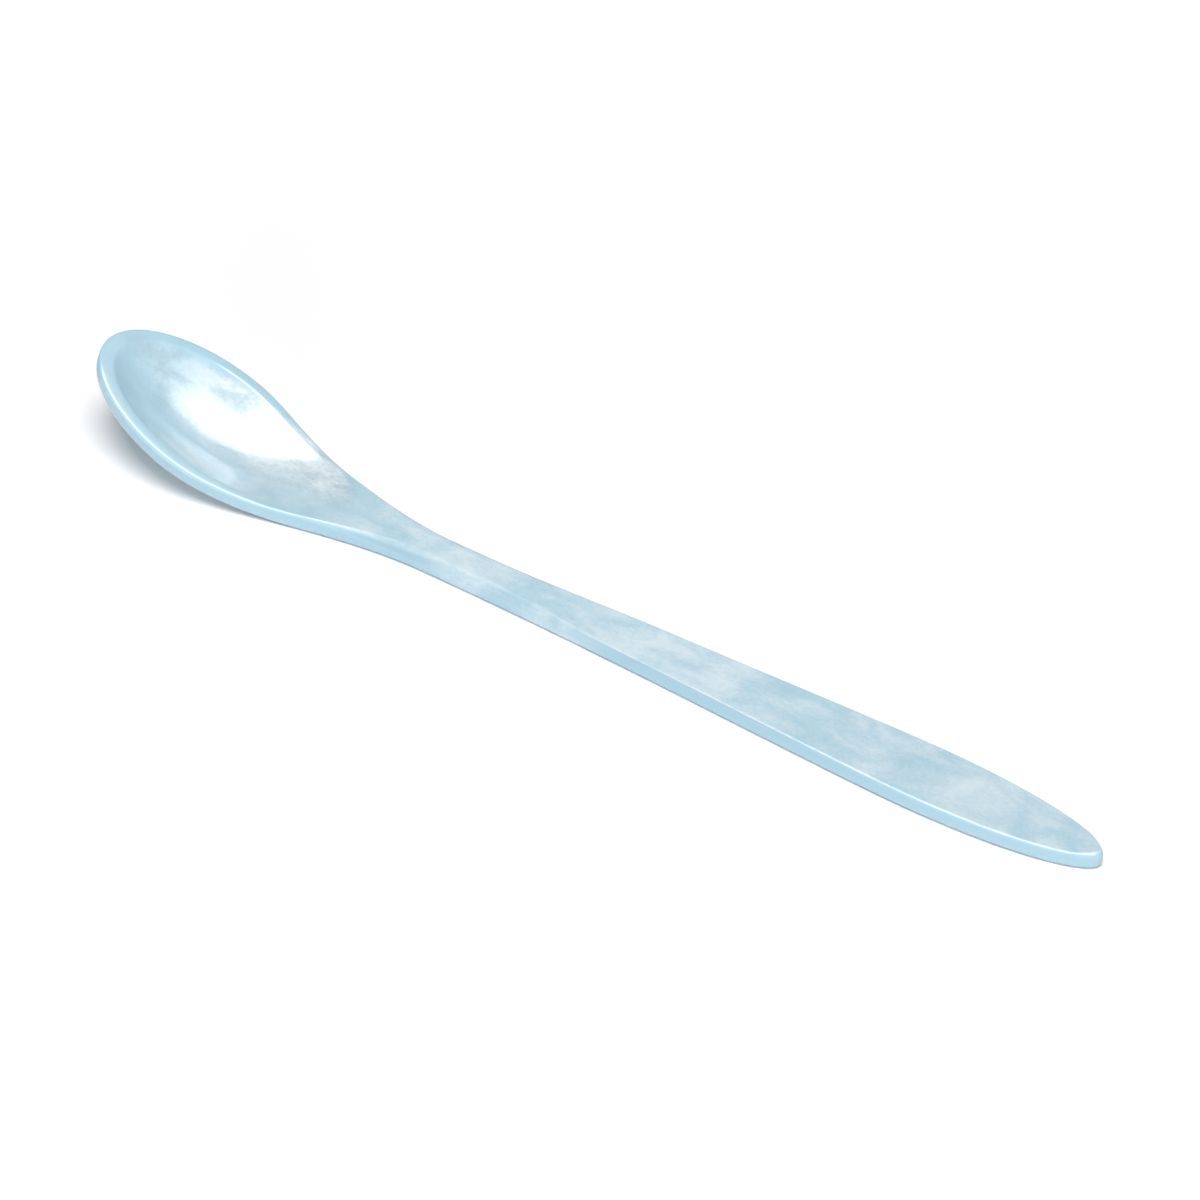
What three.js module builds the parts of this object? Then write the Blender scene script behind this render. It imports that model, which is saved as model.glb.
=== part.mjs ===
// A long-handled yogurt spoon, one glossy plastic moulding in three named regions: bowl, neck and handle.
// The spoon is drawn as a flat blank with a hollow swelling out of one end, and the blank then bends up at
// the heel of the bowl. Millimetres, +Z up. The handle lies on the plane Z = 0 along +X, the bowl rises
// towards -X, and the origin is under the middle of the spoon.
import * as THREE from 'three';
import { toCreasedNormals } from 'three/addons/utils/BufferGeometryUtils.js';

// Whole spoon
const OVERALL_LENGTH = 200; // bowl tip to handle end, seen from above
const EDGE_RADIUS = 0.45; // rounding of the rim's lower edge and of the handle's top edges
const UNDER_RADIUS = 0.9; // rounding of the lower edges from the heel back

// Bowl, with its lengths measured from the tip along the blank
const BOWL_WIDTH = 26;
const BOWL_NOSE = 23.2; // tip to the widest point
const BOWL_SHOULDER = 11; // how far the full width carries on before it draws in
const BOWL_DEPTH = 5.2; // rim plane to the floor of the hollow
const BOWL_DEEPEST = 18; // tip to the deepest point
const BOWL_HEEL = 47; // tip to the end of the hollow
const BOWL_FLOOR = 1.8; // wall under the deepest point
const RIM_WIDTH = 2.2; // rim beside the hollow
const RIM_TIP_WIDTH = 3; // rim at the tip
const RIM_THICKNESS = 2.5;
const RIM_RADIUS = 0.65; // rounding of the rim's top edge round the front of the bowl
const RIM_FADE = 60; // tip to where the flat of the rim has drawn in

// Bend that lifts the bowl out of the handle's plane
const RIM_STRAIGHT = 29; // tip to the start of the bend
const BEND_RADIUS = 58;
const BOWL_LIFT_DEGREES = 20.4;

// Neck, rounded along the top
const NECK_WIDTH = 7.9;
const NECK_THICKNESS = 3.1;
const NECK_RADIUS = 2;
const NECK_START = 74; // bowl tip to the narrow stretch
const NECK_LENGTH = 7; // the narrow stretch
const NECK_FLARE = 20.5; // how early the bowl's sides come in to the narrow stretch
const NECK_FADE = 36; // how far its rounding carries on into the handle

// Handle, with its lengths measured from its end
const HANDLE_WIDTH = 13.3;
const HANDLE_NOSE = 32; // end to the widest point
const HANDLE_SHOULDER = 17; // how early the handle comes to its full width
const HANDLE_TAPER = 34; // how far the neck's width carries on into the handle
const HANDLE_END_THICKNESS = 2.7;
const HANDLE_END_RADIUS = 1; // rounding of the top edge at the very end
const HANDLE_END_SPREAD = 4; // how far from the end that rounding starts

// Finish
const PLASTIC_COLOUR = 0xb4d6e6;
const PLASTIC_ROUGHNESS = 0.2;

// Facets
const NOSE_STEPS = 14;
const SHOULDER_STEPS = 20;
const NECK_STEPS = 1;
const TAPER_STEPS = 12;
const EDGE_STEPS = 4;
const HOLLOW_STEPS = 8; // across half of the bowl
const FLAT_STEPS = 2; // across half of the neck or the handle

const QUARTER_TURN = Math.PI / 2;
const TINY = 1e-6;
const { clamp, degToRad, lerp, smoothstep } = THREE.MathUtils;

// Places along the blank, from the bowl's tip
const BOWL_LIFT = degToRad(BOWL_LIFT_DEGREES);
const BEND_END = RIM_STRAIGHT + BEND_RADIUS * BOWL_LIFT;
const BOWL_REACH = RIM_STRAIGHT * Math.cos(BOWL_LIFT) + BEND_RADIUS * Math.sin(BOWL_LIFT);
const BLANK_LENGTH = OVERALL_LENGTH - BOWL_REACH + BEND_END;
const NECK_END = NECK_START + NECK_LENGTH;
const HANDLE_WIDEST = BLANK_LENGTH - HANDLE_NOSE;

// Radius of the outline where it turns round the handle's end, and the flat beside a small top edge
const END_CURVE = (HANDLE_WIDTH / 2) ** 2 / HANDLE_NOSE;
const EDGE_FLAT = EDGE_RADIUS / 2;

// Half of an elliptical end of the outline, from its point to its widest place. Each station has its place s
// along the blank, its half width and its outward direction.
function nose(centre, length, halfWidth, side) {
  return Array.from({ length: NOSE_STEPS + 1 }, (_, step) => {
    const angle = (QUARTER_TURN * step) / NOSE_STEPS;
    return {
      s: centre + side * length * Math.cos(angle),
      halfWidth: halfWidth * Math.sin(angle),
      out: new THREE.Vector2((side * Math.cos(angle)) / length, Math.sin(angle) / halfWidth).normalize(),
    };
  });
}

// Stations along a stretch of the outline between the two widest places, where outward is straight across.
function stretch(curve, steps) {
  return curve.getPoints(steps).slice(1).map((point) => ({
    s: point.x,
    halfWidth: point.y,
    out: new THREE.Vector2(0, 1),
  }));
}

function outline() {
  const at = (s, width) => new THREE.Vector2(s, width / 2);
  const shoulder = new THREE.CubicBezierCurve(
    at(BOWL_NOSE, BOWL_WIDTH),
    at(BOWL_NOSE + BOWL_SHOULDER, BOWL_WIDTH),
    at(NECK_START - NECK_FLARE, NECK_WIDTH),
    at(NECK_START, NECK_WIDTH),
  );
  const neck = new THREE.LineCurve(at(NECK_START, NECK_WIDTH), at(NECK_END, NECK_WIDTH));
  const taper = new THREE.CubicBezierCurve(
    at(NECK_END, NECK_WIDTH),
    at(NECK_END + HANDLE_TAPER, NECK_WIDTH),
    at(HANDLE_WIDEST - HANDLE_SHOULDER, HANDLE_WIDTH),
    at(HANDLE_WIDEST, HANDLE_WIDTH),
  );
  return [
    ...nose(BOWL_NOSE, BOWL_NOSE, BOWL_WIDTH / 2, -1),
    ...stretch(shoulder, SHOULDER_STEPS),
    ...stretch(neck, NECK_STEPS),
    ...stretch(taper, TAPER_STEPS),
    ...nose(HANDLE_WIDEST, HANDLE_NOSE, HANDLE_WIDTH / 2, 1).reverse().slice(1),
  ];
}

// Thickness of the blank: the rim's, growing to the neck's and thinning again to the end of the handle.
function thickness(s) {
  const towardsNeck = smoothstep(s, BOWL_NOSE, NECK_START);
  const alongHandle = clamp((s - NECK_END) / (BLANK_LENGTH - NECK_END), 0, 1);
  return lerp(lerp(RIM_THICKNESS, NECK_THICKNESS, towardsNeck), HANDLE_END_THICKNESS, alongHandle);
}

// Rounding of the lower edge: small round the bowl, larger along the neck and the handle, and within the
// curve of the handle's end.
function underRadius(s) {
  return Math.min(lerp(EDGE_RADIUS, UNDER_RADIUS, smoothstep(s, BOWL_NOSE, BOWL_HEEL)), END_CURVE);
}

// Rounding of the top edge: larger round the front of the bowl, largest along the neck, small at the heel
// and on the handle, larger again at the handle's very end, and within the thickness.
function topRadius(s) {
  const rimRadius = lerp(RIM_RADIUS, EDGE_RADIUS, smoothstep(s, BOWL_NOSE, BOWL_HEEL));
  const fadeIn = smoothstep(s, BOWL_HEEL, NECK_START);
  const fadeOut = 1 - smoothstep(s, NECK_END, NECK_END + NECK_FADE);
  const radius = lerp(rimRadius, NECK_RADIUS, fadeIn * fadeOut);
  const endRadius = Math.min(HANDLE_END_RADIUS, END_CURVE - EDGE_FLAT);
  const towardsEnd = smoothstep(s, BLANK_LENGTH - HANDLE_END_SPREAD, BLANK_LENGTH);
  return Math.min(lerp(radius, endRadius, towardsEnd), thickness(s) - underRadius(s));
}

// Share of the full depth of the hollow, which starts at a given distance from the tip, is deepest in the
// front half of the bowl and fades out at the heel.
function hollowShare(s, start) {
  if (s < BOWL_DEEPEST) return Math.max(0, 1 - ((BOWL_DEEPEST - s) / (BOWL_DEEPEST - start)) ** 2);
  return Math.cos(QUARTER_TURN * clamp((s - BOWL_DEEPEST) / (BOWL_HEEL - BOWL_DEEPEST), 0, 1)) ** 2;
}

// One side of a cross-section, from the middle of the top round the edge to the middle of the underside, as
// points of the blank: s along it, y across it and h above its underside.
function halfSection({ s, halfWidth, out }, steps) {
  const inset = (distance) => [s - out.x * distance, halfWidth - out.y * distance];
  const radius = topRadius(s);
  const lowRadius = underRadius(s);
  const bowlRim = RIM_TIP_WIDTH * out.x ** 2 + RIM_WIDTH * out.y ** 2;
  const flatBand = lerp(bowlRim - radius, EDGE_FLAT, smoothstep(s, BOWL_NOSE, RIM_FADE));
  const points = [];

  const [topS, topY] = inset(radius + flatBand);
  const depth = BOWL_DEPTH * hollowShare(topS, RIM_TIP_WIDTH);
  for (let step = 0; step < steps; step += 1) {
    const across = step / (steps - 1);
    points.push([topS, across * topY, thickness(topS) - depth * (1 - across ** 2)]);
  }

  const edgeAngles = Array.from({ length: EDGE_STEPS + 1 }, (_, step) => (QUARTER_TURN * step) / EDGE_STEPS);
  for (const angle of edgeAngles) {
    points.push([...inset(radius * (1 - Math.sin(angle))), thickness(s) - radius * (1 - Math.cos(angle))]);
  }
  for (const angle of edgeAngles) {
    points.push([...inset(lowRadius * (1 - Math.cos(angle))), lowRadius * (1 - Math.sin(angle))]);
  }

  const [underS, underY] = inset(lowRadius);
  const swell = (BOWL_DEPTH + BOWL_FLOOR - RIM_THICKNESS) * hollowShare(underS, EDGE_RADIUS);
  for (let step = steps - 1; step >= 0; step -= 1) {
    const across = step / steps;
    points.push([underS, across * underY, -swell * (1 - across ** 2)]);
  }
  return points;
}

// A point of the blank where it lies once the bowl is bent up.
function bend([s, y, h]) {
  const angle = clamp((BEND_END - s) / BEND_RADIUS, 0, BOWL_LIFT);
  const beyondBend = Math.max(0, RIM_STRAIGHT - s);
  const alongHandle = Math.max(0, s - BEND_END);
  return new THREE.Vector3(
    alongHandle - BEND_RADIUS * Math.sin(angle) - beyondBend * Math.cos(angle) + h * Math.sin(angle),
    y,
    BEND_RADIUS * (1 - Math.cos(angle)) + beyondBend * Math.sin(angle) + h * Math.cos(angle),
  );
}

// Both sides of a cross-section in space, each from the middle of the top to the middle of the underside.
function crossSection(station, steps) {
  const half = halfSection(station, steps);
  return {
    right: half.map(bend),
    left: half.map(([s, y, h]) => bend([s, -y, h])),
    hasWidth: station.halfWidth > TINY,
  };
}

// Skin over a run of cross-sections. An end section that has a width is closed by a flat face. At a nose the
// two sides run together in the middle plane, and the triangles that shrink to nothing there are left out.
function loft(sections) {
  const positions = [];
  const triangle = (a, b, c) => {
    const shortest = Math.min(a.distanceTo(b), b.distanceTo(c), c.distanceTo(a));
    if (shortest > TINY) positions.push(...a, ...b, ...c);
  };
  const quad = (a, b, c, d) => {
    triangle(a, b, c);
    triangle(a, c, d);
  };

  const last = sections[0].right.length - 1;
  for (let row = 0; row + 1 < sections.length; row += 1) {
    const [here, next] = [sections[row], sections[row + 1]];
    for (let column = 0; column < last; column += 1) {
      quad(here.right[column], next.right[column], next.right[column + 1], here.right[column + 1]);
      quad(here.left[column], here.left[column + 1], next.left[column + 1], next.left[column]);
    }
  }

  const closeEnd = (side) => {
    for (let rung = 0; rung < (last - 1) / 2; rung += 1) {
      quad(side[rung], side[rung + 1], side[last - rung - 1], side[last - rung]);
    }
  };
  const reversed = (side) => [...side].reverse();
  const [start, end] = [sections[0], sections.at(-1)];
  if (start.hasWidth) {
    closeEnd(start.right);
    closeEnd(reversed(start.left));
  }
  if (end.hasWidth) {
    closeEnd(reversed(end.right));
    closeEnd(end.left);
  }

  const geometry = new THREE.BufferGeometry();
  geometry.setAttribute('position', new THREE.Float32BufferAttribute(positions, 3));
  return toCreasedNormals(geometry);
}

function region(name, stations, steps) {
  const plastic = new THREE.MeshStandardMaterial({
    color: PLASTIC_COLOUR,
    roughness: PLASTIC_ROUGHNESS,
    metalness: 0,
  });
  const mesh = new THREE.Mesh(loft(stations.map((station) => crossSection(station, steps))), plastic);
  mesh.name = name;
  return mesh;
}

const stations = outline();
const heel = stations.findIndex(({ s }) => s >= Math.max(BOWL_HEEL, BEND_END));
const grip = stations.findIndex(({ s }) => s >= NECK_END);

const spoon = new THREE.Group();
spoon.add(
  region('bowl', stations.slice(0, heel + 1), HOLLOW_STEPS),
  region('neck', stations.slice(heel, grip + 1), FLAT_STEPS),
  region('handle', stations.slice(grip), FLAT_STEPS),
);
const middle = new THREE.Box3().setFromObject(spoon).getCenter(new THREE.Vector3());
spoon.position.x = -middle.x;

export default spoon;
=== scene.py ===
import math

import bpy
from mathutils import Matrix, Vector


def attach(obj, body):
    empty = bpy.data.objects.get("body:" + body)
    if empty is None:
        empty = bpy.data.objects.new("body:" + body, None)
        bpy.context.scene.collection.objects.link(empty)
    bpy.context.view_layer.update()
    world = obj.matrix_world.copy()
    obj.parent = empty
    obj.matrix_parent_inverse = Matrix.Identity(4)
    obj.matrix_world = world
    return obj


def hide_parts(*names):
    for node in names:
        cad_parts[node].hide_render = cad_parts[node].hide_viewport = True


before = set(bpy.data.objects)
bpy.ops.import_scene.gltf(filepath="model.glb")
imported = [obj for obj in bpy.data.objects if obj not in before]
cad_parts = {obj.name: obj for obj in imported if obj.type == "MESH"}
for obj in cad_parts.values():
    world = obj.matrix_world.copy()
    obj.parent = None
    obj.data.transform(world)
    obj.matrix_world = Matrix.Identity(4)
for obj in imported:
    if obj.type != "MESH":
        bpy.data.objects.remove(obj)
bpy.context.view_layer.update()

# Sizes of the spoon in millimetres. Places along it are measured from the bowl's tip on the flat blank.
OVERALL_LENGTH = 200  # bowl tip to handle end, seen from above
EDGE_RADIUS = 0.45  # rounding of the rim's lower edge and of the handle's top edges
UNDER_RADIUS = 0.9  # rounding of the lower edges from the heel back
BOWL_WIDTH = 26
BOWL_NOSE = 23.2  # tip to the widest point
BOWL_SHOULDER = 11  # how far the full width carries on before it draws in
BOWL_DEPTH = 5.2  # rim plane to the floor of the hollow
BOWL_DEEPEST = 18  # tip to the deepest point
BOWL_HEEL = 47  # tip to the end of the hollow
BOWL_FLOOR = 1.8  # wall under the deepest point
RIM_WIDTH = 2.2  # rim beside the hollow
RIM_TIP_WIDTH = 3  # rim at the tip
RIM_THICKNESS = 2.5
RIM_RADIUS = 0.65  # rounding of the rim's top edge round the front of the bowl
RIM_FADE = 60  # tip to where the flat of the rim has drawn in
RIM_STRAIGHT = 29  # tip to the start of the bend
BEND_RADIUS = 58
BOWL_LIFT = math.radians(20.4)
NECK_WIDTH = 7.9
NECK_THICKNESS = 3.1
NECK_RADIUS = 2
NECK_START = 74  # tip to the narrow stretch
NECK_LENGTH = 7  # the narrow stretch
NECK_FLARE = 20.5  # how early the bowl's sides come in to the narrow stretch
NECK_FADE = 36  # how far its rounding carries on into the handle
HANDLE_WIDTH = 13.3
HANDLE_NOSE = 32  # end to the widest point
HANDLE_SHOULDER = 17  # how early the handle comes to its full width
HANDLE_TAPER = 34  # how far the neck's width carries on into the handle
HANDLE_END_THICKNESS = 2.7
HANDLE_END_RADIUS = 1  # rounding of the top edge at the very end
HANDLE_END_SPREAD = 4  # how far from the end that rounding starts
LIP_SOFTNESS = 0.3  # how far above and below the rim the rounding of the hollow's lip reaches

# Fineness of the mesh
NOSE_STEPS = 40
SHOULDER_STEPS = 48
NECK_STEPS = 4
TAPER_STEPS = 40
HOLLOW_STEPS = 24
EDGE_STEPS = 8
UNDER_STEPS = 12
BAND_PLACES = (0.05, 0.1, 0.16, 0.25, 0.5)  # across the rim, from the hollow's lip outwards
WALL_PLACES = (0.06, 0.94)  # down the outer side
MERGE_DIGITS = 6  # points that agree to this many digits are one

MM = 0.001
QUARTER_TURN = math.pi / 2
BEND_END = RIM_STRAIGHT + BEND_RADIUS * BOWL_LIFT
BOWL_REACH = RIM_STRAIGHT * math.cos(BOWL_LIFT) + BEND_RADIUS * math.sin(BOWL_LIFT)
BLANK_LENGTH = OVERALL_LENGTH - BOWL_REACH + BEND_END
NECK_END = NECK_START + NECK_LENGTH
HANDLE_WIDEST = BLANK_LENGTH - HANDLE_NOSE
END_CURVE = (HANDLE_WIDTH / 2) ** 2 / HANDLE_NOSE
EDGE_FLAT = EDGE_RADIUS / 2


def clamp(value, low, high):
    return max(low, min(high, value))


def lerp(start, end, share):
    return start + (end - start) * share


def smoothstep(value, low, high):
    share = clamp((value - low) / (high - low), 0, 1)
    return share * share * (3 - 2 * share)


# Outline of the blank as stations: place along it, half width, and outward direction along and across.
def nose(centre, length, half_width, side):
    stations = []
    for step in range(NOSE_STEPS + 1):
        angle = QUARTER_TURN * step / NOSE_STEPS
        place = centre + side * length * math.cos(angle)
        out = Vector((side * math.cos(angle) / length, math.sin(angle) / half_width)).normalized()
        stations.append((place, half_width * math.sin(angle), out.x, out.y))
    return stations


def stretch(start, carry, approach, end, steps):
    stations = []
    for step in range(1, steps + 1):
        t = step / steps
        weights = ((1 - t) ** 3, 3 * t * (1 - t) ** 2, 3 * t * t * (1 - t), t ** 3)
        place = sum(w * p[0] for w, p in zip(weights, (start, carry, approach, end)))
        width = sum(w * p[1] for w, p in zip(weights, (start, carry, approach, end)))
        stations.append((place, width / 2, 0, 1))
    return stations


def outline():
    widest = (BOWL_NOSE, BOWL_WIDTH)
    carry = (BOWL_NOSE + BOWL_SHOULDER, BOWL_WIDTH)
    flare = (NECK_START - NECK_FLARE, NECK_WIDTH)
    neck_start = (NECK_START, NECK_WIDTH)
    neck_third = (NECK_START + NECK_LENGTH / 3, NECK_WIDTH)
    neck_two_thirds = (NECK_END - NECK_LENGTH / 3, NECK_WIDTH)
    neck_end = (NECK_END, NECK_WIDTH)
    taper = (NECK_END + HANDLE_TAPER, NECK_WIDTH)
    shoulder = (HANDLE_WIDEST - HANDLE_SHOULDER, HANDLE_WIDTH)
    handle_widest = (HANDLE_WIDEST, HANDLE_WIDTH)
    return [
        *nose(BOWL_NOSE, BOWL_NOSE, BOWL_WIDTH / 2, -1),
        *stretch(widest, carry, flare, neck_start, SHOULDER_STEPS),
        *stretch(neck_start, neck_third, neck_two_thirds, neck_end, NECK_STEPS),
        *stretch(neck_end, taper, shoulder, handle_widest, TAPER_STEPS),
        *nose(HANDLE_WIDEST, HANDLE_NOSE, HANDLE_WIDTH / 2, 1)[-2::-1],
    ]


def thickness(s):
    towards_neck = lerp(RIM_THICKNESS, NECK_THICKNESS, smoothstep(s, BOWL_NOSE, NECK_START))
    along_handle = clamp((s - NECK_END) / (BLANK_LENGTH - NECK_END), 0, 1)
    return lerp(towards_neck, HANDLE_END_THICKNESS, along_handle)


def under_radius(s):
    return min(lerp(EDGE_RADIUS, UNDER_RADIUS, smoothstep(s, BOWL_NOSE, BOWL_HEEL)), END_CURVE)


def top_radius(s):
    rim_radius = lerp(RIM_RADIUS, EDGE_RADIUS, smoothstep(s, BOWL_NOSE, BOWL_HEEL))
    fade_in = smoothstep(s, BOWL_HEEL, NECK_START)
    fade_out = 1 - smoothstep(s, NECK_END, NECK_END + NECK_FADE)
    radius = lerp(rim_radius, NECK_RADIUS, fade_in * fade_out)
    end_radius = min(HANDLE_END_RADIUS, END_CURVE - EDGE_FLAT)
    towards_end = smoothstep(s, BLANK_LENGTH - HANDLE_END_SPREAD, BLANK_LENGTH)
    return min(lerp(radius, end_radius, towards_end), thickness(s) - under_radius(s))


# Depth of the hollow, or of the swell under it, as a share of the greatest: from the start to the heel
def hollow_share(s, start):
    if s < BOWL_DEEPEST:
        return max(0, 1 - ((BOWL_DEEPEST - s) / (BOWL_DEEPEST - start)) ** 2)
    return math.cos(QUARTER_TURN * clamp((s - BOWL_DEEPEST) / (BOWL_HEEL - BOWL_DEEPEST), 0, 1)) ** 2


# The drop of the hollow below the rim, rounded where it starts
def rounded_drop(drop, reach):
    if drop >= reach:
        return drop
    if drop <= -reach:
        return 0
    return (drop + reach) ** 2 / (4 * reach)


# One side of a cross-section from the middle of the top to the middle of the underside
def half_section(s, half_width, out_s, out_y):
    def inset(distance):
        return s - out_s * distance, half_width - out_y * distance

    radius = top_radius(s)
    low_radius = under_radius(s)
    bowl_rim = RIM_TIP_WIDTH * out_s ** 2 + RIM_WIDTH * out_y ** 2
    band = lerp(bowl_rim - radius, EDGE_FLAT, smoothstep(s, BOWL_NOSE, RIM_FADE))
    top_s, top_y = inset(radius + band)
    depth = BOWL_DEPTH * hollow_share(top_s, RIM_TIP_WIDTH)
    reach = LIP_SOFTNESS * hollow_share(max(top_s, BOWL_DEEPEST), RIM_TIP_WIDTH)
    if half_width > 0:
        lip_slope = 2 * depth / (top_y * out_y)
    else:
        lip_slope = 2 * BOWL_DEPTH / (BOWL_DEEPEST - RIM_TIP_WIDTH)

    points = []
    for step in range(HOLLOW_STEPS + 1):
        across = math.sin(QUARTER_TURN * step / HOLLOW_STEPS)
        drop = rounded_drop(depth * (1 - across ** 2), reach)
        points.append((top_s, across * top_y, thickness(top_s) - drop))
    for place in BAND_PLACES:
        band_s, band_y = inset(radius + band * (1 - place))
        drop = rounded_drop(-lip_slope * band * place, reach)
        points.append((band_s, band_y, thickness(band_s) - drop))

    angles = [QUARTER_TURN * step / EDGE_STEPS for step in range(EDGE_STEPS + 1)]
    for angle in angles:
        height = thickness(s) - radius * (1 - math.cos(angle))
        points.append((*inset(radius * (1 - math.sin(angle))), height))
    for place in WALL_PLACES:
        points.append((s, half_width, lerp(thickness(s) - radius, low_radius, place)))
    for angle in angles:
        points.append((*inset(low_radius * (1 - math.cos(angle))), low_radius * (1 - math.sin(angle))))

    under_s, under_y = inset(low_radius)
    swell = (BOWL_DEPTH + BOWL_FLOOR - RIM_THICKNESS) * hollow_share(under_s, EDGE_RADIUS)
    for step in range(UNDER_STEPS - 1, -1, -1):
        across = math.sin(QUARTER_TURN * step / UNDER_STEPS)
        points.append((under_s, across * under_y, -swell * (1 - across ** 2)))
    return points


# A point of the blank moved to the bent spoon
def bend(s, y, h):
    angle = clamp((BEND_END - s) / BEND_RADIUS, 0, BOWL_LIFT)
    beyond = max(0, RIM_STRAIGHT - s)
    along = max(0, s - BEND_END)
    x = along - BEND_RADIUS * math.sin(angle) - beyond * math.cos(angle) + h * math.sin(angle)
    z = BEND_RADIUS * (1 - math.cos(angle)) + beyond * math.sin(angle) + h * math.cos(angle)
    return x, y, z


def add_object(name, data):
    added = bpy.data.objects.new(name, data)
    bpy.context.scene.collection.objects.link(added)
    return added


def build_spoon():
    places = {}
    vertices = []

    def vertex(point):
        key = tuple(round(value, MERGE_DIGITS) for value in point)
        if key not in places:
            places[key] = len(vertices)
            vertices.append(point)
        return places[key]

    rows = []
    for station in outline():
        half = half_section(*station)
        right = [vertex(bend(*point)) for point in half]
        left = [vertex(bend(s, -y, h)) for s, y, h in half]
        rows.append((right, left))

    faces = []

    def face(*corners):
        ring = list(dict.fromkeys(corners))
        if len(ring) > 2:
            faces.append(ring)

    for (right, left), (next_right, next_left) in zip(rows, rows[1:]):
        for column in range(len(right) - 1):
            face(right[column], next_right[column], next_right[column + 1], right[column + 1])
            face(left[column], left[column + 1], next_left[column + 1], next_left[column])

    middle = (min(v[0] for v in vertices) + max(v[0] for v in vertices)) / 2
    mesh = bpy.data.meshes.new("spoon")
    mesh.from_pydata([((x - middle) * MM, y * MM, z * MM) for x, y, z in vertices], [], faces)
    mesh.shade_smooth()
    return add_object("spoon", mesh)


# The nodes of a material or of the world, with short ways to add them. What goes into a node is a number, a
# tuple or another node's output.
class Graph:
    def __init__(self, tree):
        self.nodes = tree.nodes
        self.links = tree.links

    def feed(self, socket, value):
        if isinstance(value, bpy.types.NodeSocket):
            self.links.new(value, socket)
        else:
            socket.default_value = value

    def add(self, kind, inputs=None, **settings):
        node = self.nodes.new(kind)
        for name, setting in settings.items():
            setattr(node, name, setting)
        for key, value in (inputs or {}).items():
            self.feed(node.inputs[key], value)
        return node

    def compute(self, operation, *values):
        node = self.add("ShaderNodeMath", dict(enumerate(values)), operation=operation)
        return node.outputs["Value"]

    def product(self, first, *others):
        for other in others:
            first = self.compute("MULTIPLY", first, other)
        return first

    def measure(self, operation, *vectors):
        node = self.add("ShaderNodeVectorMath", dict(enumerate(vectors)), operation=operation)
        return node.outputs["Value"]

    def parts(self, vector):
        return tuple(self.add("ShaderNodeSeparateXYZ", {"Vector": vector}).outputs)

    def ramp(self, value, limits):
        names = ("Value", "From Min", "From Max", "To Min", "To Max")
        inputs = dict(zip(names, (value, *limits)))
        return self.add("ShaderNodeMapRange", inputs, interpolation_type="SMOOTHSTEP").outputs["Result"]

    def noise(self, coordinates, grid, *looks):
        mapping = self.add("ShaderNodeMapping", {"Vector": coordinates, "Scale": grid})
        names = ("Vector", "Scale", "Detail", "Roughness", "Distortion")
        inputs = dict(zip(names, (mapping.outputs["Vector"], *looks)))
        return self.add("ShaderNodeTexNoise", inputs).outputs["Fac"]

    def mix(self, share, first, second, kind="RGBA"):
        inputs = {"Factor": share, "A": first, "B": second}
        return self.add("ShaderNodeMix", inputs, data_type=kind).outputs["Result"]


def new_material(name):
    material = bpy.data.materials.new(name)
    material.use_nodes = True
    graph = Graph(material.node_tree)
    graph.nodes.clear()
    surface = graph.add("ShaderNodeOutputMaterial").inputs["Surface"]
    return material, graph, surface


# Plastic
BLUE = (0.43, 0.632, 0.745, 1)
# Deeper blue, painted on the neck's rounded flanks as painted shade
FLANK_SHADE_BLUE = (0.37, 0.544, 0.641, 1)
# Darker blue, painted in wisps over the hollow's right wall as painted shade
WISP_SHADE_BLUE = (0.39, 0.53, 0.605, 1)
# Pale pearl white, partly mottling and partly painted sheen and painted highlight
PEARL_AND_HIGHLIGHT = (0.81, 0.865, 0.9, 1)
PLASTIC_IOR = 1.5
PLASTIC_SPECULAR = 0.05
COAT_ROUGHNESS = 0.045
COAT_IOR = 1.55
WAVE_STRENGTH = 1
WAVE_HEIGHT = 0.00006

# Noises: the grid's scale on each axis, then scale, detail, roughness and distortion
CLOUDS = ((0.55, 1, 1), 205, 3, 0.5, 0.6)
GRAIN = ((0.6, 1, 1), 1800, 2, 0.6, 0.3)
WAVES = ((0.5, 1, 1), 110, 2, 0.4, 0.2)
CLOUD_SHARE = 0.72
GRAIN_SHARE = 0.28

# Ramps of a noise. A ramp is the two values that it runs between, and what it gives at each of them.
# Pale mottling on the outside, partly painted sheen
OUTER_PEARL_AND_SHEEN = (0.3, 0.7, 0.04, 0.74)
# Pale mottling in the hollow, partly a painted highlight
HOLLOW_PEARL_AND_HIGHLIGHT = (0.32, 0.68, 0.06, 0.46)
# Mottled painted shade in the hollow
SHADE_WISPS = (0.42, 0.62, 1, 0.3)
ROUGHNESS = (0.3, 0.7, 0.36, 0.46)
GLOSS = (0.3, 0.7, 1, 0.85)

# Ramps of the upward part of the surface's direction
FLAT_FACES = (0.6, 0.97, 0, 1)
# These two pick the neck's rounded flanks, where shade is painted
FLANK_SHADE_FOOT = (0.1, 0.5, 0, 1)
FLANK_SHADE_TOP = (0.9, 0.99, 1, 0)

# Ramps of the place along the spoon, in metres from its middle towards the handle's end
# How far the hollow's pale clouds and painted highlight reach towards the tip
TIP_CLOUDS_AND_HIGHLIGHT = (-0.095, -0.077, 0.22, 1)
# Where the pale clouds and painted sheen lie on the handle and over the neck
HANDLE_CLOUDS_AND_SHEEN = (-0.06, -0.036, 0.15, 1)
NECK_CLOUDS_AND_SHEEN_START = (-0.032, -0.022, 0, 0.8)
NECK_CLOUDS_AND_SHEEN_END = (-0.004, 0.014, 1, 0)
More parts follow.
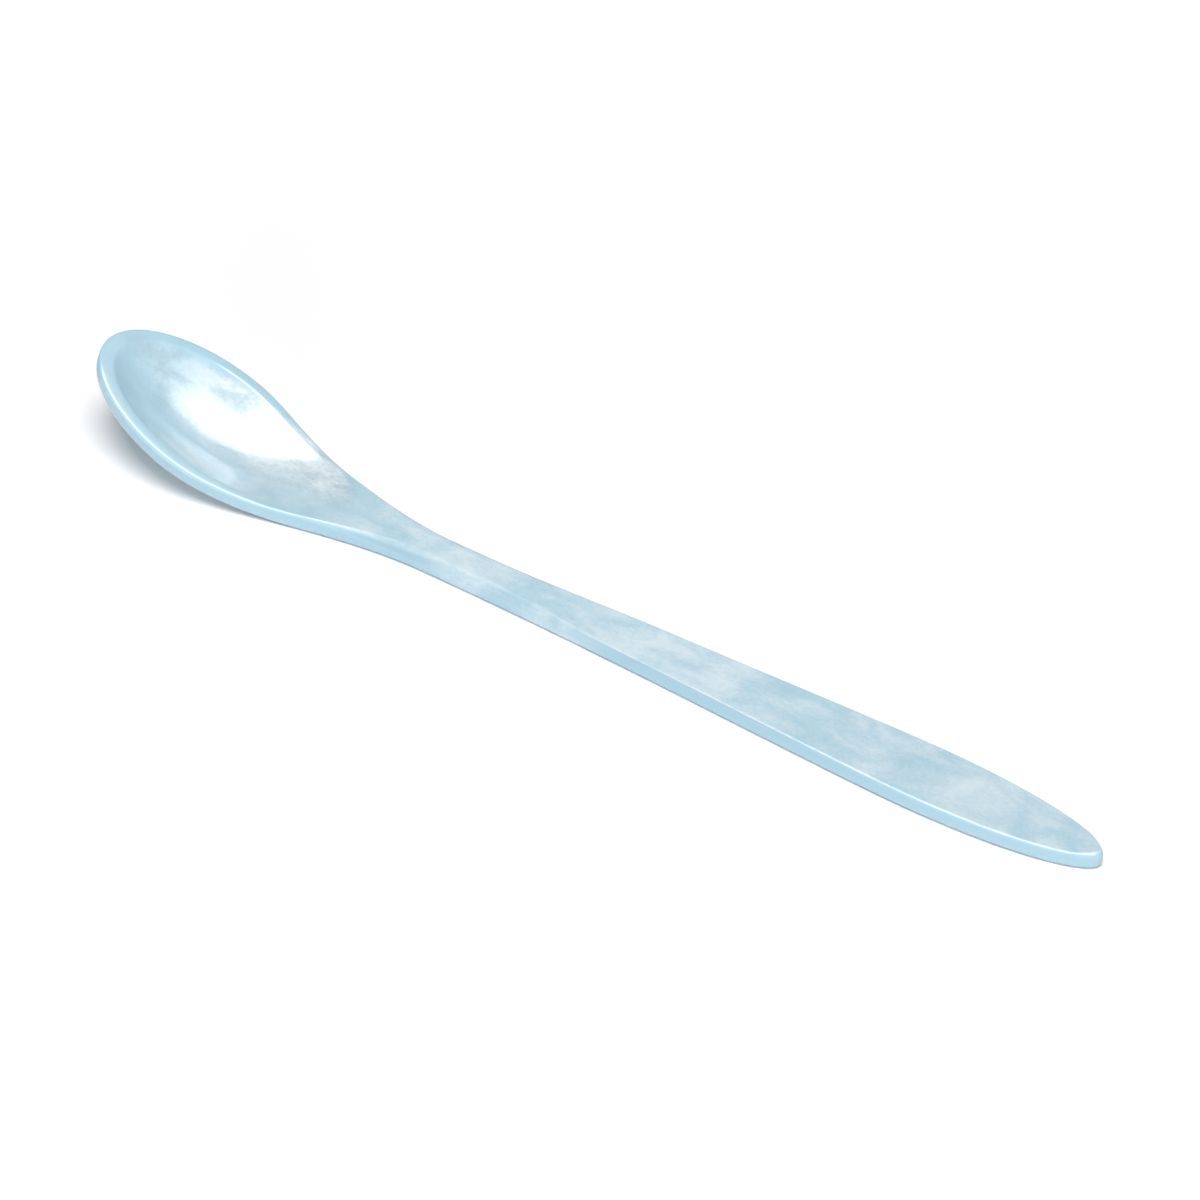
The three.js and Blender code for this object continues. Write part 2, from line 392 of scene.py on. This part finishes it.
# Where along the spoon the painted shade on the neck's flanks lies
FLANK_SHADE_START = (-0.05, -0.036, 0, 1)
FLANK_SHADE_END = (0.03, 0.07, 1, 0)
SATIN_START = (-0.06, -0.035, 0, 1)
SATIN_END = (0, 0.09, 1, 0.3)
TIP_SATIN = (-0.0925, -0.0885, 1, 0)
TIP_SLANT = -0.6  # the tip's satin reaches further back on the right
SATIN_LOSS = 0.99  # share of the gloss that full satin takes away

# The middle of the hollow, and half its length and width, in metres. Its reach upwards is so far that height
# hardly counts.
HOLLOW_MIDDLE = (-0.073, 0, 0)
HOLLOW_REACH = (0.0245, 0.0108, 1)

# Ramps of the distance from that middle, which is about 1 on the lip
HOLLOW_LIP = (0.82, 1.02, 1, 0)
RIGHT_LIP = (0.93, 1.06, 1, 0)

# The right half of the hollow, at +Y, has more pale clouds, partly a painted highlight, and darker wisps of
# painted shade.
RIGHT_HALF = (-0.003, 0.004, 0, 1)  # ramp of the place across the spoon, in metres
RIGHT_CLOUDS_AND_HIGHLIGHT = 1.6  # what the right half adds to the pale clouds and painted highlight, as a share of them


# Distance from the middle of the hollow, about 1 on its lip
def hollow_distance(graph, coordinates):
    inputs = {"Vector": coordinates, "Location": HOLLOW_MIDDLE, "Scale": HOLLOW_REACH}
    mapping = graph.add("ShaderNodeMapping", inputs, vector_type="TEXTURE")
    return graph.measure("LENGTH", mapping.outputs["Vector"])


# Base colour: blue, with painted shade on the neck's flanks and in the hollow, and pale pearl clouds that
# are partly mottling and partly painted sheen and highlight
def plastic_colour(graph, coordinates, mottle):
    along, across, _ = graph.parts(coordinates)
    upward = graph.parts(graph.add("ShaderNodeNewGeometry").outputs["Normal"])[2]
    from_middle = hollow_distance(graph, coordinates)

    # The hollow is whitened, partly as a painted highlight, most on its right half and least at the tip
    right_half = graph.ramp(across, RIGHT_HALF)
    right_wall = graph.product(right_half, graph.ramp(from_middle, RIGHT_LIP))
    inside = graph.compute("MAXIMUM", right_wall, graph.ramp(from_middle, HOLLOW_LIP))
    right_highlight_boost = graph.compute("MULTIPLY_ADD", right_half, RIGHT_CLOUDS_AND_HIGHLIGHT, 1)
    hollow = graph.product(inside, graph.ramp(along, TIP_CLOUDS_AND_HIGHLIGHT), right_highlight_boost)

    # Pale clouds on the broad faces and over the neck, partly painted sheen
    flat = graph.ramp(graph.compute("ABSOLUTE", upward), FLAT_FACES)
    flat = graph.product(flat, graph.ramp(along, HANDLE_CLOUDS_AND_SHEEN))
    neck = graph.product(graph.ramp(along, NECK_CLOUDS_AND_SHEEN_START), graph.ramp(along, NECK_CLOUDS_AND_SHEEN_END))
    outer = graph.compute("MAXIMUM", flat, neck)

    outer_pearl_and_sheen = graph.product(outer, graph.ramp(mottle, OUTER_PEARL_AND_SHEEN))
    hollow_pearl_and_highlight = graph.product(hollow, graph.ramp(mottle, HOLLOW_PEARL_AND_HIGHLIGHT))
    pearl_and_highlight = graph.compute("MAXIMUM", outer_pearl_and_sheen, hollow_pearl_and_highlight)

    # Painted shade: a deeper blue on the rounded flanks of the neck
    flank_shade = graph.product(graph.ramp(upward, FLANK_SHADE_FOOT), graph.ramp(upward, FLANK_SHADE_TOP))
    flank_shade = graph.product(flank_shade, graph.ramp(along, FLANK_SHADE_START), graph.ramp(along, FLANK_SHADE_END))
    # Painted shade in mottled wisps on the hollow's right wall
    shade_wisps = graph.product(right_wall, graph.ramp(mottle, SHADE_WISPS))
    blue = graph.mix(flank_shade, BLUE, FLANK_SHADE_BLUE)
    blue = graph.mix(shade_wisps, blue, WISP_SHADE_BLUE)
    return graph.mix(pearl_and_highlight, blue, PEARL_AND_HIGHLIGHT)


# The gloss fades to satin along the neck and the handle, and round the tip.
def plastic_gloss(graph, coordinates, clouds):
    along, across, _ = graph.parts(coordinates)
    neck_satin = graph.product(graph.ramp(along, SATIN_START), graph.ramp(along, SATIN_END))
    slanted = graph.compute("MULTIPLY_ADD", across, TIP_SLANT, along)
    satin = graph.compute("MAXIMUM", neck_satin, graph.ramp(slanted, TIP_SATIN))
    kept = graph.compute("MULTIPLY_ADD", satin, -SATIN_LOSS, 1)
    return graph.product(graph.ramp(clouds, GLOSS), kept)


# The plastic's colour holds painted shade, painted sheen and a painted highlight besides its mottling
def pearl_plastic_painted_light():
    material, graph, surface = new_material("pearl_plastic_painted_light")
    coordinates = graph.add("ShaderNodeTexCoord").outputs["Object"]
    clouds = graph.noise(coordinates, *CLOUDS)
    cloud_part = graph.product(clouds, CLOUD_SHARE)
    grain_part = graph.product(graph.noise(coordinates, *GRAIN), GRAIN_SHARE)
    mottle = graph.compute("ADD", cloud_part, grain_part)
    waves = graph.noise(coordinates, *WAVES)
    bump_inputs = {"Strength": WAVE_STRENGTH, "Distance": WAVE_HEIGHT, "Height": waves}
    shader = graph.add("ShaderNodeBsdfPrincipled", {
        "Base Color": plastic_colour(graph, coordinates, mottle),
        "Roughness": graph.ramp(clouds, ROUGHNESS),
        "IOR": PLASTIC_IOR,
        "Specular IOR Level": PLASTIC_SPECULAR,
        "Coat Weight": plastic_gloss(graph, coordinates, clouds),
        "Coat Roughness": COAT_ROUGHNESS,
        "Coat IOR": COAT_IOR,
        "Normal": graph.add("ShaderNodeBump", bump_inputs).outputs["Normal"],
    })
    graph.feed(surface, shader.outputs["BSDF"])
    return material


spoon = build_spoon()
spoon.data.materials.append(pearl_plastic_painted_light())
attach(spoon, "root")
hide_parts("bowl", "neck", "handle")


# 1 for rays from the camera, from glossy surfaces and through clear ones, 0 for the rest
def seen_ray(graph):
    rays = graph.add("ShaderNodeLightPath").outputs
    seen = graph.compute("MAXIMUM", rays["Is Camera Ray"], rays["Is Glossy Ray"])
    return graph.compute("MAXIMUM", seen, rays["Is Transmission Ray"])


# Table, in metres
TABLE_REACH = 2
TABLE_GAP = 0.00005  # below the spoon, so that no two faces share a plane
TABLE_COLOUR = (0.995, 0.96, 0.96, 1)
TABLE_GLOW = (0.11, 0.25, 0.09, 0.18)  # ramp of the distance from the middle of the spoon


def table_white():
    material, graph, surface = new_material("table_white")
    diffuse = graph.add("ShaderNodeBsdfDiffuse", {"Color": TABLE_COLOUR})
    distance = graph.measure("LENGTH", graph.add("ShaderNodeTexCoord").outputs["Object"])
    strength = graph.product(seen_ray(graph), graph.ramp(distance, TABLE_GLOW))
    glow = graph.add("ShaderNodeEmission", {"Strength": strength})
    both = graph.add("ShaderNodeAddShader", {0: diffuse.outputs["BSDF"], 1: glow.outputs["Emission"]})
    graph.feed(surface, both.outputs["Shader"])
    return material


def build_table():
    mesh = bpy.data.meshes.new("table")
    corners = [(TABLE_REACH * x, TABLE_REACH * y, 0) for x, y in ((-1, -1), (1, -1), (1, 1), (-1, 1))]
    mesh.from_pydata(corners, [], [(0, 1, 2, 3)])
    mesh.materials.append(table_white())
    table = add_object("table", mesh)
    table.location.z = -TABLE_GAP
    return table


floor = build_table()

# Studio light: a dim room, paler at the horizon. Reflections also show a bright ring there and, overhead, a
# wide bright sheet with soft edges. The ramps here are of the height of the direction that is looked in.
WHITE = (1, 1, 1, 1)
ROOM_TINT = (0.77, 1, 1.03, 1)
ROOM_LIGHT = (0.2, 0.5, 0.26, 0.12)
HORIZON_SHINE = (0.36, 0.44, 0.85, 0)
SHEET_SHINE = (0, 0.05, 0, 12)
LEAST_HEIGHT = 0.02  # keeps places on the sheet finite

# Each edge of the sheet: the axis that crosses it, and a ramp of the place along that axis, one unit up.
# The first is the back edge, then come the two sides, the front and a corner.
SHEET_EDGES = (
    ((0.2, 1, 0), (0.05, 0.85, 1, 0)),
    ((1, 0, 0), (-0.15, 1, 1, 0)),
    ((1, 0, 0), (-1.15, -0.65, 0, 1)),
    ((0, 1, 0), (-0.7, 0.25, 0.1, 1)),
    ((-0.6, 0.8, 0), (0.8, 1.1, 1, 0)),
)


def studio_world():
    world = bpy.data.worlds.new("studio")
    world.use_nodes = True
    graph = Graph(world.node_tree)
    rays = graph.add("ShaderNodeLightPath").outputs
    direction = graph.add("ShaderNodeTexCoord").outputs["Generated"]
    height = graph.parts(direction)[2]
    above = graph.compute("MAXIMUM", height, LEAST_HEIGHT)
    sheet = graph.ramp(height, SHEET_SHINE)
    for axis, edge in SHEET_EDGES:
        place = graph.compute("DIVIDE", graph.measure("DOT_PRODUCT", direction, axis), above)
        sheet = graph.product(sheet, graph.ramp(place, edge))
    shine = graph.compute("ADD", sheet, graph.ramp(height, HORIZON_SHINE))
    reflected = graph.product(rays["Is Glossy Ray"], shine)
    studio = graph.compute("ADD", graph.ramp(height, ROOM_LIGHT), reflected)
    background = graph.nodes["Background"]
    graph.feed(background.inputs["Color"], graph.mix(seen_ray(graph), ROOM_TINT, WHITE))
    graph.feed(background.inputs["Strength"], graph.mix(rays["Is Camera Ray"], studio, 1, "FLOAT"))
    return world


bpy.context.scene.world = studio_world()


# A lamp that is aimed at the spoon and leaves the reflections to the sheet. A white surface that faces it is
# as bright as the level says.
def softbox(name, place, size, level):
    lamp = bpy.data.lights.new(name, "AREA")
    lamp.shape = "DISK"
    lamp.size = size
    aim = -Vector(place)
    lamp.energy = level * math.pi ** 2 * aim.length ** 2
    box = add_object(name, lamp)
    box.location = place
    box.rotation_euler = aim.to_track_quat("-Z", "Y").to_euler()
    box.visible_glossy = False


softbox("softbox_overhead", place=(0.9, -0.96, 4), size=3.1, level=0.975)
softbox("softbox_front", place=(0.98, -1.74, 0.2), size=0.4, level=0.275)

# Camera, with its sensor and focal length in millimetres and the rest in metres
AZIMUTH = math.radians(38.46)
ELEVATION = math.radians(35)
AIM = Vector((0.00114, 0.00461, 0.003))
DISTANCE = 0.8
SENSOR_WIDTH = 36
FOCAL_LENGTH = 150.96


def build_camera():
    forward = Vector((
        -math.sin(AZIMUTH) * math.cos(ELEVATION),
        math.cos(AZIMUTH) * math.cos(ELEVATION),
        -math.sin(ELEVATION),
    ))
    lens = bpy.data.cameras.new("camera")
    lens.sensor_width = SENSOR_WIDTH
    lens.sensor_fit = "HORIZONTAL"
    lens.lens = FOCAL_LENGTH
    camera = add_object("camera", lens)
    camera.location = AIM - forward * DISTANCE
    camera.rotation_euler = forward.to_track_quat("-Z", "Y").to_euler()
    return camera


bpy.context.scene.camera = build_camera()
bpy.context.scene.view_settings.view_transform = "Standard"
